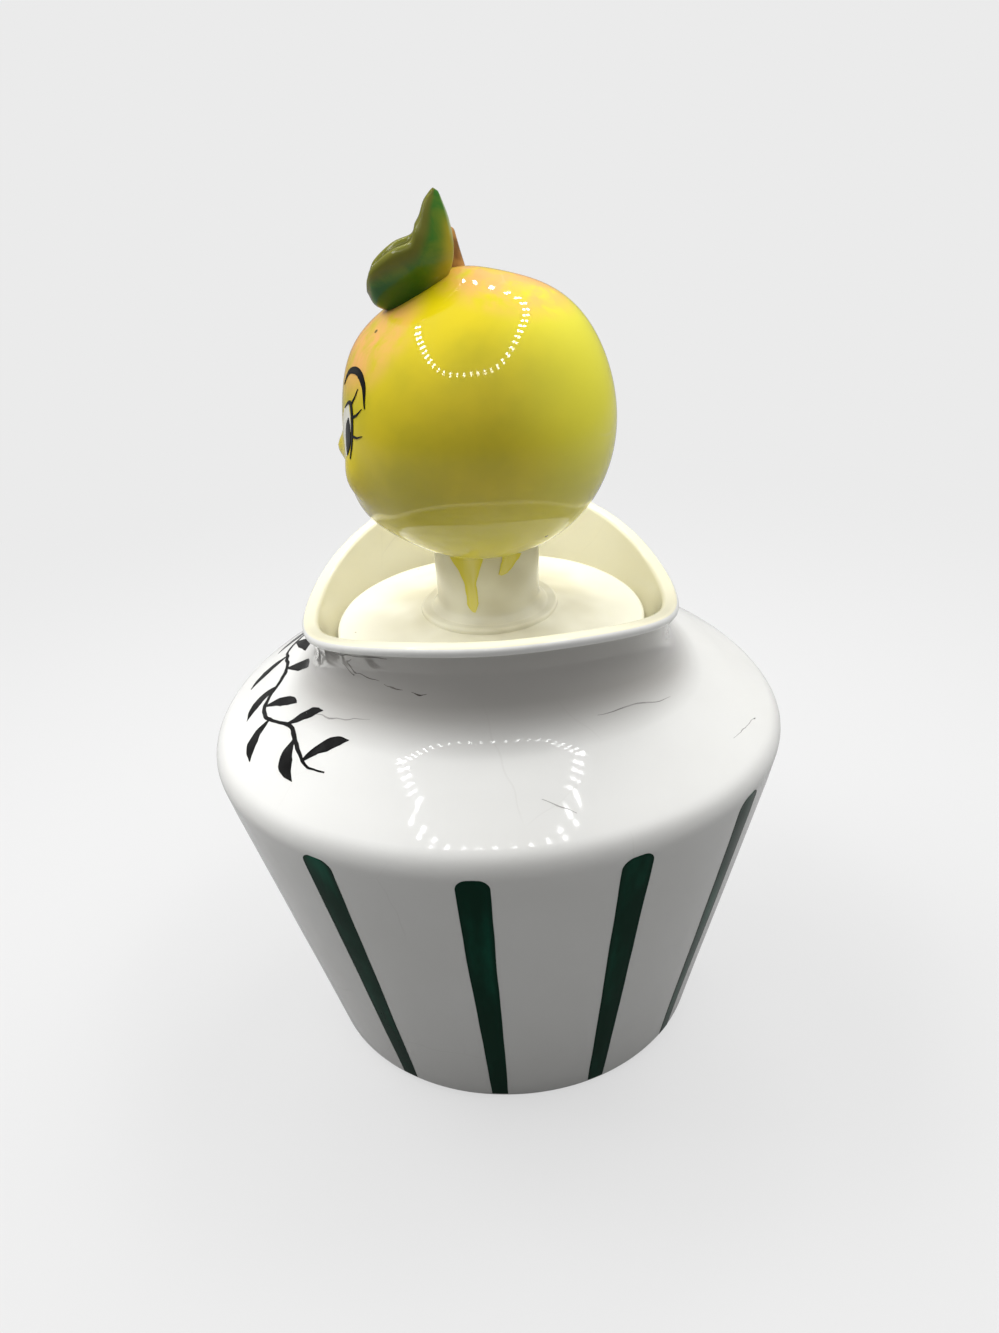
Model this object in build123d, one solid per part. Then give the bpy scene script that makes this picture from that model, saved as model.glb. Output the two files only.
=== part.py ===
# Lidded jam pot of glazed earthenware, with a fruit for the lid's knob
# Millimetres, +Z up, the foot's centre at the origin, the fruit's face looking along -Y
import os
from math import cos, hypot, radians, sin, sqrt, tan

from build123d import *

os.makedirs("parts", exist_ok=True)

# Pot: corners of its outline before they are rounded
foot_radius = 32.0
foot_round = 2.0
foot_ring_width = 6.0
foot_hollow_depth = 1.2
shoulder_radius = 46.7
shoulder_height = 56.5
shoulder_round = 5.0
inner_shoulder_round = 5.0
dome_rise = 0.8
dome_round_share = 0.42
throat_rise = 14.7
throat_round_share = 0.3
wall = 4.0
floor_thickness = 5.0
floor_round = 6.0

# Collar: leans out all round, thins towards its rim, and dips to its height at the front and the back
collar_lean = 21.0
collar_foot_wall = 2.9
collar_rim_wall = 2.0
collar_height = 5.9
rim_rise = 7.6
lip_height = 2.2
lip_overhang = 0.7
lip_round = 1.1
lip_under_round = 0.6

# Seat of the lid, a ledge in the collar's foot
seat_drop = 0.6
seat_width = 3.3
seat_land = 5.4
seat_round = 0.6

# Lid: a low cone with a locating flange under it
lid_radius = 24.4
lid_clearance = 0.5
lid_edge_thickness = 3.2
lid_rise = 1.8
lid_round = 1.0
flange_clearance = 0.6
flange_wall = 2.6
flange_depth = 6.0
flange_round = 0.8

# Neck: a short tube between the lid and the fruit, with a coved foot
neck_reach = 9.2
neck_radius = 8.0
neck_bore_radius = 4.5
neck_foot_spread = 2.8
neck_foot_thickness = 1.0
neck_foot_rise = 0.7
neck_cove = 1.8
neck_seat_depth = 0.6
luting_gap = 0.15

# Fruit: a hollow ball with a flattened face
fruit_radius = 20.3
fruit_wall = 3.8
fruit_socket_depth = 2.0
face_flat_radius = 30.0
face_flat_depth = 0.8
nose_radius = 2.1
nose_proud = 0.3
nose_lift = -6.8
cheek_radius = 4.6
cheek_proud = 0.6
cheek_turn = 25.0
cheek_lift = -11.5

# Stalk: a tapered nub with a spread foot, beside the crown
stalk_x = -3.6
stalk_y = -3.0
stalk_foot_radius = 4.6
stalk_radius = 2.3
stalk_top_radius = 1.8
stalk_length = 7.0
stalk_cove = 2.2
stalk_round = 1.2

# Leaf: a thick blade folded along its keel, in the plane x = leaf_x
# Each station, from the rounded end to the point, gives the keel's y and height and the crest's
# y and height above the fruit's centre, then the half width and the depth of the fold
leaf_x = 1.6
leaf_edge_share = 0.45
leaf_stations = [
    (-14.2, 19.5, -14.0, 21.0, 2.0, 0.3),
    (-13.0, 17.5, -13.0, 22.5, 3.6, 1.6),
    (-9.8, 16.7, -10.2, 24.4, 4.4, 3.6),
    (-5.6, 18.5, -7.4, 25.4, 4.3, 3.8),
    (-2.6, 21.5, -5.7, 27.0, 3.8, 3.2),
    (-1.8, 24.9, -5.8, 28.4, 3.0, 2.2),
    (-2.2, 28.3, -5.2, 30.4, 2.0, 1.2),
    (-3.1, 31.5, -4.2, 32.2, 0.8, 0.2),
]


def turned(section):
    """Solid turned about the Z axis from the corners of a half section: radius, height, round."""
    corners = [(radius, 0, height) for radius, height, _ in section]
    outline = FilletPolyline(*corners, radius=[rounding for _, _, rounding in section], close=True)
    return revolve(make_face(outline), Axis.Z)


def inset_corner(before, corner, after, distance):
    """Corner of a bent line moved to the left of its direction by a distance."""
    first = hypot(corner[0] - before[0], corner[1] - before[1])
    second = hypot(after[0] - corner[0], after[1] - corner[1])
    first_side = (-(corner[1] - before[1]) / first, (corner[0] - before[0]) / first)
    second_side = (-(after[1] - corner[1]) / second, (after[0] - corner[0]) / second)
    share = distance / (1 + first_side[0] * second_side[0] + first_side[1] * second_side[1])
    return tuple(corner[i] + share * (first_side[i] + second_side[i]) for i in range(2))


def swollen_middle(start, end, rise):
    """Middle of a straight line, moved to the right of its direction by a rise."""
    length = hypot(end[0] - start[0], end[1] - start[1])
    side = ((end[1] - start[1]) / length, -(end[0] - start[0]) / length)
    return tuple((start[i] + end[i]) / 2 + rise * side[i] for i in range(2))


def easy_round(before, corner, after, share):
    """Radius of a rounding that takes up a share of the shorter line beside a corner."""
    first = Vector(corner[0] - before[0], corner[1] - before[1])
    second = Vector(after[0] - corner[0], after[1] - corner[1])
    half_turn = radians(first.get_angle(second)) / 2
    return share * min(first.length, second.length) / tan(half_turn)


# How far an edge may lie off the line that it is found by
edge_tolerance = 0.05

# Sizes that follow from the ones above
collar_slope = tan(radians(collar_lean))
throat_height = shoulder_height + throat_rise
seat_height = throat_height - seat_drop
seat_outer_radius = lid_radius + lid_clearance
seat_inner_radius = seat_outer_radius - seat_width
rim_low_height = throat_height + collar_height
rim_high_height = rim_low_height + rim_rise
lid_edge_height = seat_height + lid_edge_thickness
lid_crown_height = lid_edge_height + lid_rise
neck_seat_height = lid_crown_height - neck_seat_depth
fruit_height = lid_crown_height + neck_reach + fruit_radius
neck_top_height = fruit_height - sqrt(fruit_radius**2 - neck_radius**2) + fruit_socket_depth


def collar_inside(height):
    """Inner radius of the collar at a height above the seat."""
    return seat_outer_radius + (height - seat_height) * collar_slope


def collar_outside(height):
    """Outer radius of the collar at a height above the throat."""
    share = (height - throat_height) / (rim_high_height - throat_height)
    return collar_inside(height) + collar_foot_wall + share * (collar_rim_wall - collar_foot_wall)


def rim_arc():
    """Radius of the rim's dipping line, seen from the front, and the height of its centre."""
    reach = collar_outside(rim_high_height)
    radius = (reach**2 + rim_rise**2) / (2 * rim_rise)
    return radius, rim_low_height + radius


def rim_cylinder(offset):
    """Lying cylinder whose underside is the dipping line of the rim, lowered by an offset."""
    radius, centre_height = rim_arc()
    return Pos(0, 0, centre_height) * Cylinder(radius + offset, 4 * shoulder_radius, rotation=(90, 0, 0))


def rim_edges(body, offset):
    """Edges of the lip that lie along the rim's dipping line, lowered by an offset."""
    radius, centre_height = rim_arc()

    def on_lip(edge):
        for share in (0.15, 0.5, 0.85):
            point = edge @ share
            off_line = hypot(point.X, centre_height - point.Z) - radius - offset
            off_collar = hypot(point.X, point.Y) - collar_outside(point.Z)
            if abs(off_line) > edge_tolerance or abs(off_collar) < lip_overhang / 2:
                return False
        return True

    return body.edges().filter_by(on_lip)


def make_pot_body():
    foot = (foot_radius, 0)
    shoulder = (shoulder_radius, shoulder_height)
    throat = (collar_outside(throat_height), throat_height)
    dome = swollen_middle(shoulder, throat, dome_rise)
    collar_top = (collar_outside(rim_high_height), rim_high_height)
    dome_round = easy_round(shoulder, dome, throat, dome_round_share)
    throat_round = easy_round(dome, throat, collar_top, throat_round_share)
    seat_foot = (seat_inner_radius, seat_height - seat_land)
    inner_dome = inset_corner(shoulder, dome, throat, wall)
    inner_shoulder = inset_corner(foot, shoulder, dome, wall)
    inner_dome_round = easy_round(inner_shoulder, inner_dome, seat_foot, dome_round_share)
    wall_slope = (shoulder_radius - foot_radius) / shoulder_height
    inner_foot_radius = foot_radius + floor_thickness * wall_slope - wall * hypot(1, wall_slope)
    ring_inside = foot_radius - foot_ring_width
    blank_top = rim_high_height + lip_height
    blank = turned([
        (0, foot_hollow_depth, 0),
        (ring_inside, foot_hollow_depth, 0),
        (ring_inside + foot_hollow_depth, 0, 0),
        (*foot, foot_round),
        (*shoulder, shoulder_round),
        (*dome, dome_round),
        (*throat, throat_round),
        (collar_outside(blank_top), blank_top, 0),
        (collar_inside(blank_top), blank_top, 0),
        (seat_outer_radius, seat_height, 0),
        (seat_inner_radius, seat_height, seat_round),
        (*seat_foot, seat_round),
        (*inner_dome, inner_dome_round),
        (*inner_shoulder, inner_shoulder_round),
        (inner_foot_radius, floor_thickness, floor_round),
        (0, floor_thickness, 0),
    ])
    lip_foot = rim_low_height - 2 * lip_height
    lip_ring = turned([
        (collar_inside(lip_foot), lip_foot, 0),
        (collar_outside(lip_foot) + lip_overhang, lip_foot, 0),
        (collar_outside(blank_top) + lip_overhang, blank_top, 0),
        (collar_inside(blank_top), blank_top, 0),
    ])
    lip = lip_ring & rim_cylinder(lip_height)
    body = blank + lip - rim_cylinder(0)
    body = fillet(rim_edges(body, 0), lip_round)
    return fillet(rim_edges(body, lip_height), lip_under_round)


def make_lid_plate():
    flange_radius = seat_inner_radius - flange_clearance
    flange_inside = flange_radius - flange_wall
    flange_foot = seat_height - flange_depth
    recess_radius = neck_radius + neck_foot_spread + luting_gap
    return turned([
        (neck_bore_radius, seat_height, 0),
        (flange_inside, seat_height, flange_round),
        (flange_inside, flange_foot, flange_round),
        (flange_radius, flange_foot, flange_round),
        (flange_radius, seat_height, 0),
        (lid_radius, seat_height, 0),
        (lid_radius, lid_edge_height, lid_round),
        (recess_radius, lid_crown_height, 0),
        (recess_radius, neck_seat_height, 0),
        (neck_bore_radius, neck_seat_height, 0),
    ])


def make_lid_neck():
    foot_radius_here = neck_radius + neck_foot_spread
    foot_edge = neck_seat_height + neck_foot_thickness
    return turned([
        (neck_bore_radius, neck_seat_height, 0),
        (foot_radius_here, neck_seat_height, 0),
        (foot_radius_here, foot_edge, neck_foot_thickness / 2),
        (neck_radius, foot_edge + neck_foot_rise, neck_cove),
        (neck_radius, neck_top_height, 0),
        (neck_bore_radius, neck_top_height, 0),
    ])


def on_fruit(turn, lift, depth):
    """Place on the fruit, turned from the face's front and lifted, at a depth under its skin."""
    reach = fruit_radius - depth
    side = reach * cos(radians(lift)) * sin(radians(turn))
    front = -reach * cos(radians(lift)) * cos(radians(turn))
    return Pos(side, front, fruit_height + reach * sin(radians(lift)))


def fruit_ball(offset):
    """The fruit's plain ball, grown by an offset."""
    return Pos(0, 0, fruit_height) * Sphere(fruit_radius + offset)


def make_fruit_head():
    flat_centre = face_flat_radius - fruit_radius + face_flat_depth
    head = fruit_ball(0) & Pos(0, flat_centre, fruit_height) * Sphere(face_flat_radius)
    head += on_fruit(0, nose_lift, nose_radius - nose_proud) * Sphere(nose_radius)
    for side in (-1, 1):
        place = on_fruit(side * cheek_turn, cheek_lift, cheek_radius - cheek_proud)
        head += place * Sphere(cheek_radius)
    socket_depth = neck_top_height - (fruit_height - fruit_radius)
    socket = Cylinder(neck_radius + luting_gap, 2 * socket_depth)
    bore = Cylinder(neck_bore_radius, fruit_radius, align=(Align.CENTER, Align.CENTER, Align.MIN))
    head -= fruit_ball(-fruit_wall)
    head -= Pos(0, 0, neck_top_height - socket_depth) * socket
    head -= Pos(0, 0, neck_top_height - fruit_wall) * bore
    return head


def stalk_blank(offset):
    """Stalk before its foot is fitted to the fruit, grown by an offset."""
    reach = hypot(stalk_x, stalk_y)
    foot_height = fruit_height + sqrt(fruit_radius**2 - (reach + stalk_foot_radius) ** 2)
    crown_height = fruit_height + sqrt(fruit_radius**2 - reach**2)
    top_height = crown_height + stalk_length
    shoulder_of_foot = crown_height + stalk_foot_radius / 4
    nub = turned([
        (0, foot_height - offset, 0),
        (stalk_foot_radius + offset, foot_height - offset, 0),
        (stalk_radius + offset, shoulder_of_foot + offset, stalk_cove),
        (stalk_top_radius + offset, top_height + offset, stalk_round),
        (0, top_height + offset, 0),
    ])
    return Pos(stalk_x, stalk_y, 0) * nub


def make_fruit_stalk():
    return stalk_blank(0) - fruit_ball(luting_gap)


def leaf_section(keel_y, keel_height, crest_y, crest_height, half_width, fold):
    """Closed U across the leaf, from the keel up to the two crests."""
    depth = hypot(crest_y - keel_y, crest_height - keel_height)
    up = (0, (crest_y - keel_y) / depth, (crest_height - keel_height) / depth)
    along = (0, -up[2], up[1])
    keel = (leaf_x, keel_y, fruit_height + keel_height)
    edge = leaf_edge_share * half_width
    inner = half_width - edge
    middle = half_width - edge / 2
    belly = -depth / 3
    valley = depth - fold * 4 / 3
    outline = [
        Bezier((-half_width, depth), (-half_width, belly), (half_width, belly), (half_width, depth)),
        ThreePointArc((half_width, depth), (middle, depth + edge / 2), (inner, depth)),
        Bezier((inner, depth), (inner, valley), (-inner, valley), (-inner, depth)),
        ThreePointArc((-inner, depth), (-middle, depth + edge / 2), (-half_width, depth)),
    ]
    return Plane(origin=keel, x_dir=(1, 0, 0), z_dir=along) * make_face(outline)


def make_fruit_leaf():
    blade = loft([leaf_section(*station) for station in leaf_stations])
    return blade - fruit_ball(luting_gap) - stalk_blank(luting_gap)


makers = {
    "pot_body": make_pot_body,
    "lid_plate": make_lid_plate,
    "lid_neck": make_lid_neck,
    "fruit_head": make_fruit_head,
    "fruit_stalk": make_fruit_stalk,
    "fruit_leaf": make_fruit_leaf,
}
for node, make in makers.items():
    piece = make()
    piece.label = node
    export_step(piece, f"parts/{node}.step")
    print(node, round(piece.volume, 1))
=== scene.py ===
from math import atan2, cos, hypot, pi, radians, sin, sqrt, tan

import bmesh
import bpy
import numpy as np
from mathutils import Matrix, Vector


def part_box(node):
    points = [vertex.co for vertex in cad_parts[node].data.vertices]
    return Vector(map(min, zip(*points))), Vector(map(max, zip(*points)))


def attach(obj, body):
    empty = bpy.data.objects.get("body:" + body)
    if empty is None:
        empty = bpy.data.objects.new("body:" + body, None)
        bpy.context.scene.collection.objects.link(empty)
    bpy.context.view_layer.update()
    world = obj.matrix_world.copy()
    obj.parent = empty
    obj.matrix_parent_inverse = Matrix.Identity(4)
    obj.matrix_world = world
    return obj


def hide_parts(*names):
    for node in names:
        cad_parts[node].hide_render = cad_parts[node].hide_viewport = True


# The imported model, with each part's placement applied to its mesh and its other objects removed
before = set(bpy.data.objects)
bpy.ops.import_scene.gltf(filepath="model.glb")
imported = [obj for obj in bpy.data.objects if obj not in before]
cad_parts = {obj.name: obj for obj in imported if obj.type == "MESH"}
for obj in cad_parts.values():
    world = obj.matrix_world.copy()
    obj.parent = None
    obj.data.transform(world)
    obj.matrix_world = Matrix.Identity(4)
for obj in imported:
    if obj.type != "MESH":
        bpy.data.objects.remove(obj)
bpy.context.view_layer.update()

# Sizes below are in millimetres, and MM turns them into metres
MM = 0.001


def top_of(node):
    """Height of a node's top."""
    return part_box(node)[1].z / MM


def reach_of(node):
    """How far a node reaches to the side with the leaf."""
    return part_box(node)[1].x / MM


# Pot: corners of its outline before they are rounded, and how far its inner corners lie from them
foot_radius = 32.0
foot_round = 2.0
foot_ring_width = 6.0
foot_hollow_depth = 1.2
foot_hollow_round = 0.5
shoulder_radius = 47.4
shoulder_height = 59.0
shoulder_round = 4.5
shoulder_inset = 4.6
shoulder_drop = 2.0
dome_radius = 38.0
dome_height = 66.7
dome_round = 36.0
dome_inset = 2.4
throat_height = 72.4
throat_round = 10.0
wall = 4.0
floor_thickness = 5.0
floor_round = 6.0

# Collar: its rolled lip stands highest at the sides and dips at the front and the back. The pot dips with
# it, less and less down to a foot under the shoulder's edge
collar_slope = tan(radians(21.0))
collar_foot_wall = 2.9
collar_rim_wall = 2.0
rim_high_height = top_of("pot_body")
rim_drop = 7.6
rim_dip_power = 2.6
rim_dip_foot = shoulder_height - 9.0
lip_height = 1.6
lip_foot = rim_high_height - lip_height
lip_overhang = 0.7
lip_round = 0.8
lip_under_round = 0.6
lip_cove = 0.3

# Seat of the lid
seat_height = 70.6
seat_inner_radius = 21.6
seat_land = 5.4
seat_round = 0.6
seat_cove = 0.3

# Lid
lid_radius = reach_of("lid_plate")
lid_clearance = 0.5
lid_edge_height = seat_height + 3.2
lid_crown_height = lid_edge_height + 1.8
lid_round = 1.0
lid_under_round = 0.4
flange_clearance = 0.6
flange_radius = seat_inner_radius - flange_clearance
flange_wall = 2.6
flange_depth = 6.0
flange_round = 0.8
flange_cove = 0.3
seat_outer_radius = lid_radius + lid_clearance

# Neck, with the ring of slip round its foot
neck_radius = 8.0
neck_seat_depth = 0.6
neck_cove_height = 1.6
neck_cove = 1.4
neck_top_height = top_of("lid_neck")
slip_radius = neck_radius + 2.8
slip_height = 0.5
slip_round = 0.45
slip_width = 1.7
slip_dip_height = 0.35
slip_dip_round = 0.5

# Fruit
fruit_radius = reach_of("fruit_head")
fruit_height = top_of("fruit_head") - fruit_radius
fruit_centre = Vector((0, 0, fruit_height))


# Short calls for building node trees

def wire(tree, node, inputs):
    """Links or sets inputs of a node."""
    for name, value in inputs.items():
        if isinstance(value, bpy.types.NodeSocket):
            tree.links.new(value, node.inputs[name])
        else:
            node.inputs[name].default_value = value


def put(tree, kind, inputs=None, out=0, **options):
    """Adds a node, sets its options, wires its inputs, and returns one of its outputs."""
    node = tree.nodes.new(kind)
    for name, value in options.items():
        setattr(node, name, value)
    wire(tree, node, inputs or {})
    return node.outputs[out]


def calc(tree, operation, first, second=0.0):
    """Output of a Math node."""
    return put(tree, "ShaderNodeMath", {0: first, 1: second}, operation=operation)


def times(tree, first, second):
    """Product of two numbers."""
    return calc(tree, "MULTIPLY", first, second)


def vector(tree, operation, *given, out=0):
    """Output of a Vector Math node."""
    return put(tree, "ShaderNodeVectorMath", dict(enumerate(given)), out=out, operation=operation)


def scaled(tree, arrow, factor):
    """Vector times a number."""
    return put(tree, "ShaderNodeVectorMath", {0: arrow, "Scale": factor}, operation="SCALE")


def eased(tree, value, low, high, start=0.0, end=1.0):
    """Smooth step from start to end as a value goes from low to high."""
    sockets = {"Value": value, "From Min": low, "From Max": high, "To Min": start, "To Max": end}
    return put(tree, "ShaderNodeMapRange", sockets, interpolation_type="SMOOTHSTEP")


def mottle(tree, where, scale, detail=2.0, out=0, distortion=0.0):
    """Noise at a place: out 0 is its value and out 1 its colour."""
    sockets = {"Vector": where, "Scale": scale, "Detail": detail, "Distortion": distortion}
    return put(tree, "ShaderNodeTexNoise", sockets, out=out)


def blended(tree, share, first, second):
    """Mix of two colours."""
    return put(tree, "ShaderNodeMix", {0: share, 6: first, 7: second}, out=2, data_type="RGBA")


# Meshes

def placed(name, data):
    """New object in the scene."""
    made = bpy.data.objects.new(name, data)
    bpy.context.collection.objects.link(made)
    return made


def mesh_object(name, points, faces, edges=()):
    """Object with a mesh from points in millimetres."""
    mesh = bpy.data.meshes.new(name)
    mesh.from_pydata([tuple(MM * c for c in point) for point in points], list(edges), list(faces))
    return placed(name, mesh)


def mark(piece, name, values):
    """Gives each point of a piece a number under a name, for its material."""
    piece.data.attributes.new(name, "FLOAT", "POINT").data.foreach_set("value", values)


def baked(piece):
    """Turns a piece and its modifiers into a plain mesh."""
    shown = piece.evaluated_get(bpy.context.evaluated_depsgraph_get())
    mesh = bpy.data.meshes.new_from_object(shown)
    piece.modifiers.clear()
    piece.data = mesh


def grown(piece, tree, values):
    """Puts a tree on a piece and sets the tree's inputs."""
    modifier = piece.modifiers.new(tree.name, "NODES")
    modifier.node_group = tree
    for item in tree.interface.items_tree:
        if item.in_out == "INPUT" and item.name in values:
            modifier[item.identifier] = values[item.name]


def finished(piece, sharp_angle=50.0):
    """Points a closed piece's faces outwards and shades it smooth, apart from its sharp edges."""
    work = bmesh.new()
    work.from_mesh(piece.data)
    bmesh.ops.recalc_face_normals(work, faces=work.faces)
    work.to_mesh(piece.data)
    work.free()
    piece.data.shade_smooth()
    piece.data.set_sharp_from_angle(angle=radians(sharp_angle))


def belongs(piece, body, slot, *nodes):
    """Ties a piece to its body and hides the solids that it stands for. The slot is not used."""
    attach(piece, body)
    if nodes:
        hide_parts(*nodes)


def new_tree(name, sockets):
    """Empty Geometry Nodes tree with named inputs, and the sockets that give them."""
    tree = bpy.data.node_groups.new(name, "GeometryNodeTree")
    tree.interface.new_socket("Geometry", in_out="INPUT", socket_type="NodeSocketGeometry")
    for label, kind in sockets.items():
        tree.interface.new_socket(label, in_out="INPUT", socket_type="NodeSocket" + kind)
    tree.interface.new_socket("Geometry", in_out="OUTPUT", socket_type="NodeSocketGeometry")
    return tree, tree.nodes.new("NodeGroupInput").outputs


def end_tree(tree, geometry, material):
    """Ends a tree in Realize Instances and Set Material."""
    real = put(tree, "GeometryNodeRealizeInstances", {"Geometry": geometry})
    done = put(tree, "GeometryNodeSetMaterial", {"Geometry": real, "Material": material})
    wire(tree, tree.nodes.new("NodeGroupOutput"), {0: done})


# Turned ware

core_radius = 1.0
merge_distance = 0.01


def turned_tree():
    """Turns a half section about the Z axis, lowers its rim front and back, and lets the skin wander."""
    tree, given = new_tree("turned_ware", {
        "Turns": "Int", "Rim Drop": "Float", "Rim Foot": "Float", "Rim Top": "Float",
        "Wander": "Float", "Wander Scale": "Float", "Material": "Material",
    })
    laid = put(tree, "GeometryNodeTransform", {
        "Geometry": given["Geometry"], "Translation": (-core_radius * MM, 0, 0), "Rotation": (pi / 2, 0, 0),
    })
    section = put(tree, "GeometryNodeMeshToCurve", {"Mesh": laid})
    circle = put(tree, "GeometryNodeCurvePrimitiveCircle",
                 {"Resolution": given["Turns"], "Radius": core_radius * MM})
    skin = put(tree, "GeometryNodeCurveToMesh", {"Curve": circle, "Profile Curve": section})
    place = put(tree, "GeometryNodeInputPosition")
    split = put(tree, "ShaderNodeSeparateXYZ", {0: place}).node.outputs
    level = put(tree, "ShaderNodeCombineXYZ", {0: split[0], 1: split[1]})
    outward = vector(tree, "NORMALIZE", level)
    front = put(tree, "ShaderNodeSeparateXYZ", {0: outward}, out=1)
    share = put(tree, "ShaderNodeMapRange",
                {"Value": split[2], "From Min": given["Rim Foot"], "From Max": given["Rim Top"]})
    frontness = calc(tree, "POWER", calc(tree, "ABSOLUTE", front), rim_dip_power)
    drop = times(tree, times(tree, frontness, share), given["Rim Drop"])
    inward = scaled(tree, outward, times(tree, drop, collar_slope))
    down = put(tree, "ShaderNodeCombineXYZ", {2: drop})
    move = vector(tree, "ADD", inward, down)
    dipped = put(tree, "GeometryNodeSetPosition", {"Geometry": skin, "Offset": scaled(tree, move, -1.0)})
    closed = put(tree, "GeometryNodeMergeByDistance", {"Geometry": dipped, "Distance": merge_distance * MM})
    unevenness = calc(tree, "SUBTRACT", mottle(tree, place, given["Wander Scale"]), 0.5)
    normal = put(tree, "GeometryNodeInputNormal")
    swell = scaled(tree, normal, times(tree, unevenness, given["Wander"]))
    handmade = put(tree, "GeometryNodeSetPosition", {"Geometry": closed, "Offset": swell})
    end_tree(tree, handmade, given["Material"])
    return tree


def rounded_outline(corners, arc_steps=7, longest_run=3.0):
    """Points along a bent line of corners (radius, height, round), with long runs divided."""
    places = [Vector((radius, 0, height)) for radius, height, _ in corners]
    bent = []
    for index, corner in enumerate(places):
        rounding = corners[index][2]
        if rounding == 0:
            bent.append(corner)
            continue
        before = (places[index - 1] - corner).normalized()
        after = (places[index + 1] - corner).normalized()
        half = before.angle(after) / 2
        centre = corner + (before + after).normalized() * rounding / sin(half)
        first_spoke = (corner + before * rounding / tan(half) - centre).normalized()
        last_spoke = (corner + after * rounding / tan(half) - centre).normalized()
        spokes = [first_spoke.slerp(last_spoke, k / arc_steps) for k in range(arc_steps + 1)]
        bent += [centre + spoke * rounding for spoke in spokes]
    line = [bent[0]]
    for start, end in zip(bent, bent[1:]):
        parts = max(1, round((end - start).length / longest_run))
        line += [start.lerp(end, k / parts) for k in range(1, parts + 1)]
    return line


def turned_piece(name, tree, corners, material, wander, wander_scale, turns=160, rim=(0.0, 0.0, 1.0),
                 marks=None):
    """Piece turned from a half section that begins and ends on the axis. Its rim is a drop and the heights
    between which it grows, and marks gives the values of its outline's points."""
    line = rounded_outline(corners)
    edges = [(k, k + 1) for k in range(len(line) - 1)]
    piece = mesh_object(name, line, [], edges)
    if marks is not None:
        for label, values in marks(line).items():
            mark(piece, label, values)
    drop, rim_foot, rim_top = rim
    grown(piece, tree, {
        "Turns": turns, "Rim Drop": drop * MM, "Rim Foot": rim_foot * MM, "Rim Top": rim_top * MM,
        "Wander": wander * MM, "Wander Scale": wander_scale, "Material": material,
    })
    baked(piece)
    finished(piece)
    return piece


def collar_inside(height):
    """Inner radius of the collar at a height."""
    return seat_outer_radius + (height - seat_height) * collar_slope


def collar_outside(height):
    """Outer radius of the collar at a height."""
    share = (height - throat_height) / (rim_high_height - throat_height)
    return collar_inside(height) + collar_foot_wall + share * (collar_rim_wall - collar_foot_wall)


def pot_marks(line):
    """Which points of the pot's outline lie inside, and how strongly painted shade greys those on the
    collar's outer wall under the lip.
    """
    rim_edge = Vector((collar_outside(rim_high_height), 0, rim_high_height))
    first_inside = min(range(len(line)), key=lambda k: (line[k] - rim_edge).length)
    # Painted shade grows from a little under the collar's foot to full strength just above it, and stops
    # under the lip
    shade_fade_foot = throat_height - 4.0
    shade_fade_height = 5.0
    shade_top = lip_foot - 0.1
    inner, throat_shade = [], []
    for k, point in enumerate(line):
        inside = k >= first_inside
        depth = min(1.0, max(0.0, (point.z - shade_fade_foot) / shade_fade_height))
        inner.append(float(inside))
        throat_shade.append(0.0 if inside or point.z >= shade_top else depth)
    return {"inner": inner, "throat_shade": throat_shade}


def make_pot_body(tree, material):
    """The pot's shell, from the hollow under its foot, over the lip, to its floor."""
    wall_slope = (shoulder_radius - foot_radius) / shoulder_height
    ring_inside = foot_radius - foot_ring_width
    inner_foot = foot_radius + floor_thickness * wall_slope - wall * hypot(1, wall_slope)
    corners = [
        (0, foot_hollow_depth, 0),
        (ring_inside, foot_hollow_depth, foot_hollow_round),
        (ring_inside + foot_hollow_depth, 0, foot_hollow_round),
        (foot_radius, 0, foot_round),
        (shoulder_radius, shoulder_height, shoulder_round),
        (dome_radius, dome_height, dome_round),
        (collar_outside(throat_height), throat_height, throat_round),
        (collar_outside(lip_foot), lip_foot, lip_cove),
        (collar_outside(lip_foot) + lip_overhang, lip_foot, lip_under_round),
        (collar_outside(rim_high_height) + lip_overhang, rim_high_height, lip_round),
        (collar_inside(rim_high_height), rim_high_height, lip_round),
        (seat_outer_radius, seat_height, seat_cove),
        (seat_inner_radius, seat_height, seat_round),
        (seat_inner_radius, seat_height - seat_land, seat_round),
        (dome_radius - dome_inset, dome_height - wall, dome_round / 2),
        (shoulder_radius - shoulder_inset, shoulder_height - shoulder_drop, shoulder_round),
        (inner_foot, floor_thickness, floor_round),
        (0, floor_thickness, 0),
    ]
    piece = turned_piece(
        "pot_shell", tree, corners, material, wander=0.3, wander_scale=28.0, turns=224,
        rim=(rim_drop, rim_dip_foot, lip_foot), marks=pot_marks,
    )
    belongs(piece, "pot", "white_glaze", "pot_body")
    return piece


def make_lid_plate(tree, material):
    """The lid's low cone with the flange under it."""
    flange_inside = flange_radius - flange_wall
    flange_foot = seat_height - flange_depth
    corners = [
        (0, seat_height, 0),
        (flange_inside, seat_height, flange_round),
        (flange_inside, flange_foot, flange_round),
        (flange_radius, flange_foot, flange_round),
        (flange_radius, seat_height, flange_cove),
        (lid_radius, seat_height, lid_under_round),
        (lid_radius, lid_edge_height, lid_round),
        (neck_radius, lid_crown_height, 0),
        (0, lid_crown_height, 0),
    ]
    piece = turned_piece("lid_disc", tree, corners, material, wander=0.3, wander_scale=55.0)
    belongs(piece, "lid", "cream_glaze", "lid_plate")


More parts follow.
